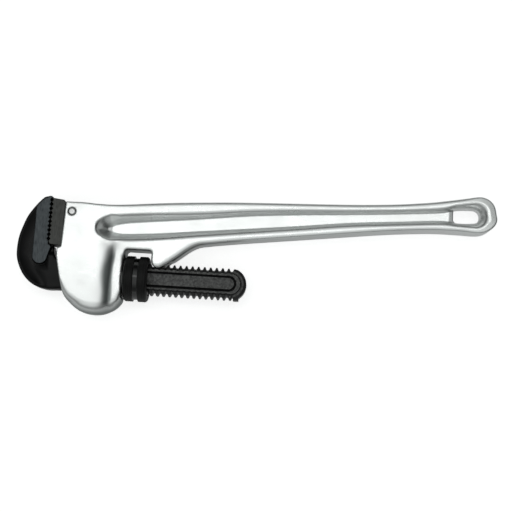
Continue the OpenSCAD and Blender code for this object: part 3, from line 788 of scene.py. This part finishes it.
def nut_field(x, y, z):
    """Two knurled bands with a groove between them, and a threaded bore."""
    r = np.hypot(y, z)
    angle = np.arctan2(z, y)
    across = x - NUT_X
    half = (NUT_X1 - NUT_X0) / 2
    turns = round(2 * math.pi * NUT_R / KNURL_PITCH)
    u = angle * turns / (2 * math.pi)
    v = across / KNURL_PITCH
    left = np.abs((u + v) - np.round(u + v)) * 2
    right = np.abs((u - v) - np.round(u - v)) * 2
    knurl = KNURL_DEPTH * (1 - np.minimum(left, right))
    ring = np.abs(across) / RING_PITCH + 0.4
    knurl = knurl + RING_DEPTH * step(0.25, 0.0, np.abs(ring - np.round(ring)))
    middle = (NUT_GROOVE / 2 + half) / 2
    band_half = (half - NUT_GROOVE / 2) / 2
    outer = blend_max(r - NUT_R + knurl, (r - NUT_R + np.abs(across) - half + NUT_CHAMFER) * 0.707, 0.5)
    bands = rounded(np.abs(np.abs(across) - middle) - band_half, outer, 0.6)
    core = np.maximum(np.abs(across) - half + 0.4, r - NUT_R + NUT_GROOVE_DEPTH)
    body = blend_min(bands, core, 0.6)
    w = (x - GROOVE_X0) / SCREW_PITCH - angle / (2 * math.pi)
    from_ridge = np.abs(w - np.round(w)) * SCREW_PITCH
    flank = from_ridge - (GROOVE_ROOT + (r - ROOT_R) * GROOVE_FLARE - THREAD_GAP)
    ridge = np.maximum(flank, ROOT_R + THREAD_GAP - r)
    bore = np.minimum(NUT_BORE - r, np.maximum(ridge, np.abs(across) - RIDGE_HALF))
    return blend_max(body, bore, 0.4)


def make_nut():
    low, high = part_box("adjusting_nut")
    points, faces = polygonise(nut_field, drawn(low), drawn(high), NUT_CELL)
    piece = mesh_piece("knurled_nut", points, faces, [NUT_BLACK, WORN_BLACK], "nut",
                       "adjusting_nut")
    paint_faces(piece, lambda x, y, z: (np.abs(x - NUT_X) < NUT_GROOVE / 2) & (np.hypot(y, z) > NUT_BORE + 1))


# ------------------------------------------------------------------ pin and springs
def lathe(profile, sides=64):
    """Vertices and quads of a profile of (radius, height) turned about Z, closed at the axis."""
    points, faces = [], []
    for r, h in profile:
        for i in range(sides):
            a = 2 * math.pi * i / sides
            points.append((r * math.cos(a), r * math.sin(a), h))
    for j in range(len(profile) - 1):
        for i in range(sides):
            n = (i + 1) % sides
            faces.append((j * sides + i, j * sides + n, (j + 1) * sides + n, (j + 1) * sides + i))
    return np.array(points), np.array(faces)


def make_pin():
    """Ground cross pin with a small chamfer and slightly crowned ends."""
    r, h = PIN_R, PIN_HALF
    rings = 6
    crowned = [(2.8 * a / rings, h - 0.06 * (a / rings) ** 2) for a in range(1, rings + 1)]
    corner = [(2.95, h - 0.12), (3.4, h - 0.75), (r, h - 1.0)]
    upper = crowned + corner
    profile = [(c, -v) for c, v in upper] + [(c, v) for c, v in reversed(upper)]
    points, faces = lathe([(0.02, -h)] + profile + [(0.02, h)])
    points = points + np.array([PIN_X, PIN_Y, 0])
    mesh_piece("jaw_pin", points, faces, PIN_BRIGHT, "frame", "heel_jaw_pin")


make_handle()
make_heel_jaw()
make_hook_jaw()
make_nut()
make_pin()
for hidden in ("flat_spring", "spring_rivet", "coil_spring"):
    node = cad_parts[hidden]
    node.data.materials.clear()
    node.data.materials.append(SPRING_STEEL)

# ------------------------------------------------------------------ floor, light and camera
FLOOR_HALF, FLOOR_GAP = 4.0, 0.0005             # half its width, and how far under the wrench, metres
floor_mesh = bpy.data.meshes.new("floor")
floor_corners = [(-1, -1), (1, -1), (1, 1), (-1, 1)]
floor_mesh.from_pydata([(FLOOR_HALF * i, FLOOR_HALF * j, 0) for i, j in floor_corners], [], [(0, 1, 2, 3)])
floor = bpy.data.objects.new("floor", floor_mesh)
floor.location.z = -FLOOR_GAP
bpy.context.scene.collection.objects.link(floor)
paper, paper_tree, paper_shader = new_material("pale_floor")
seen = add(paper_tree, "ShaderNodeLightPath").outputs["Is Camera Ray"]
paper_shader.inputs["Roughness"].default_value = 0.9
paper_tree.links.new(two_colours(paper_tree, seen, (0.6, 0.61, 0.61), (0.8, 0.8, 0.8)),
                     paper_shader.inputs["Base Color"])
paper_shader.inputs["Emission Color"].default_value = (1, 1, 1, 1)
paper_tree.links.new(ranged(paper_tree, seen, 0, 1, 0.25, 0.72), paper_shader.inputs["Emission Strength"])
floor_mesh.materials.append(paper)

world = bpy.data.worlds.new("studio")
bpy.context.scene.world = world
world.use_nodes = True
sky_tree = world.node_tree
way = add(sky_tree, "ShaderNodeSeparateXYZ",
          {"Vector": add(sky_tree, "ShaderNodeTexCoord").outputs["Generated"]})


def sky_ramp(stops):
    """Sky brightness over the height of the direction: stops are (height, grey)."""
    ramp = add(sky_tree, "ShaderNodeValToRGB", {"Fac": way.outputs["Z"]})
    while len(ramp.color_ramp.elements) < len(stops):
        ramp.color_ramp.elements.new(0.5)
    for element, (place, grey) in zip(ramp.color_ramp.elements, stops):
        element.position = place
        element.color = (0.965 * grey, grey, 0.985 * grey, 1)
    return ramp.outputs["Color"]


horizon, overhead = [(0.0, 0.70), (0.12, 0.50)], [(0.86, 0.67), (1.0, 0.75)]
behind = sky_ramp(horizon + [(0.28, 0.06), (0.5, 0.05), (0.7, 0.32)] + overhead)
before = sky_ramp(horizon + [(0.28, 0.22), (0.5, 0.20), (0.7, 0.38)] + overhead)
sky = add(sky_tree, "ShaderNodeMix", data_type="RGBA")
sky_tree.links.new(ranged(sky_tree, way.outputs["Y"], -0.1, -0.5, 0, 1), sky.inputs["Factor"])
sky_tree.links.new(behind, sky.inputs["A"])
sky_tree.links.new(before, sky.inputs["B"])
# a dark card stands on the side of the grip's end, and does not reach the ground
card = ranged(sky_tree, way.outputs["X"], 0.3, 0.85, 1.0, 0.15)
card_gap = ranged(sky_tree, way.outputs["Z"], 0.12, 0.30, 1.0, 0.0)
card = add(sky_tree, "ShaderNodeMath", {0: card, 1: card_gap}, operation="MAXIMUM").outputs[0]
fall = ranged(sky_tree, way.outputs["X"], -0.1, 0.3, 1.0, 0.95)
background = sky_tree.nodes["Background"]
sky_tree.links.new(sky.outputs["Result"], background.inputs["Color"])
sky_tree.links.new(add(sky_tree, "ShaderNodeMath", {0: card, 1: fall}, operation="MULTIPLY").outputs[0],
                   background.inputs["Strength"])


def area_light(name, place, aim, size, power):
    """A rectangular lamp at a place, shining at its aim, in metres and watts."""
    lamp = bpy.data.lights.new(name, "AREA")
    lamp.shape = "RECTANGLE"
    lamp.size, lamp.size_y = size
    lamp.energy = power
    obj = bpy.data.objects.new(name, lamp)
    obj.location = place
    obj.rotation_mode = "QUATERNION"
    obj.rotation_quaternion = (Vector(aim) - Vector(place)).to_track_quat("-Z", "Y")
    bpy.context.scene.collection.objects.link(obj)


LAMP_X, LAMP_LENGTH = -0.15, 2.1                # both lamps lie along X, above and behind the handle
area_light("overhead", (LAMP_X, 0.28, 1.8), (LAMP_X, 0.28, 0), (LAMP_LENGTH, 0.42), 0.6)
area_light("tube", (LAMP_X, 0.26, 1.79), (LAMP_X, 0.26, 0), (LAMP_LENGTH, 0.1), 1.75)

CAMERA_DISTANCE, CAMERA_LENS = 1.08, 70.3
CAMERA_AIM = (-0.0014, -0.0018, ORIGIN[2])
CAMERA_TILT, CAMERA_ROLL = math.radians(8), math.radians(3.55)
camera_data = bpy.data.cameras.new("camera")
camera_data.sensor_width = 36
camera_data.lens = CAMERA_LENS
camera = bpy.data.objects.new("camera", camera_data)
bpy.context.scene.collection.objects.link(camera)
bpy.context.scene.camera = camera
turn = Matrix.Rotation(CAMERA_ROLL, 4, "Z") @ Matrix.Rotation(CAMERA_TILT, 4, "X")
camera.matrix_world = Matrix.Translation(CAMERA_AIM) @ turn @ Matrix.Translation((0, 0, CAMERA_DISTANCE))
bpy.context.scene.view_settings.view_transform = "Standard"
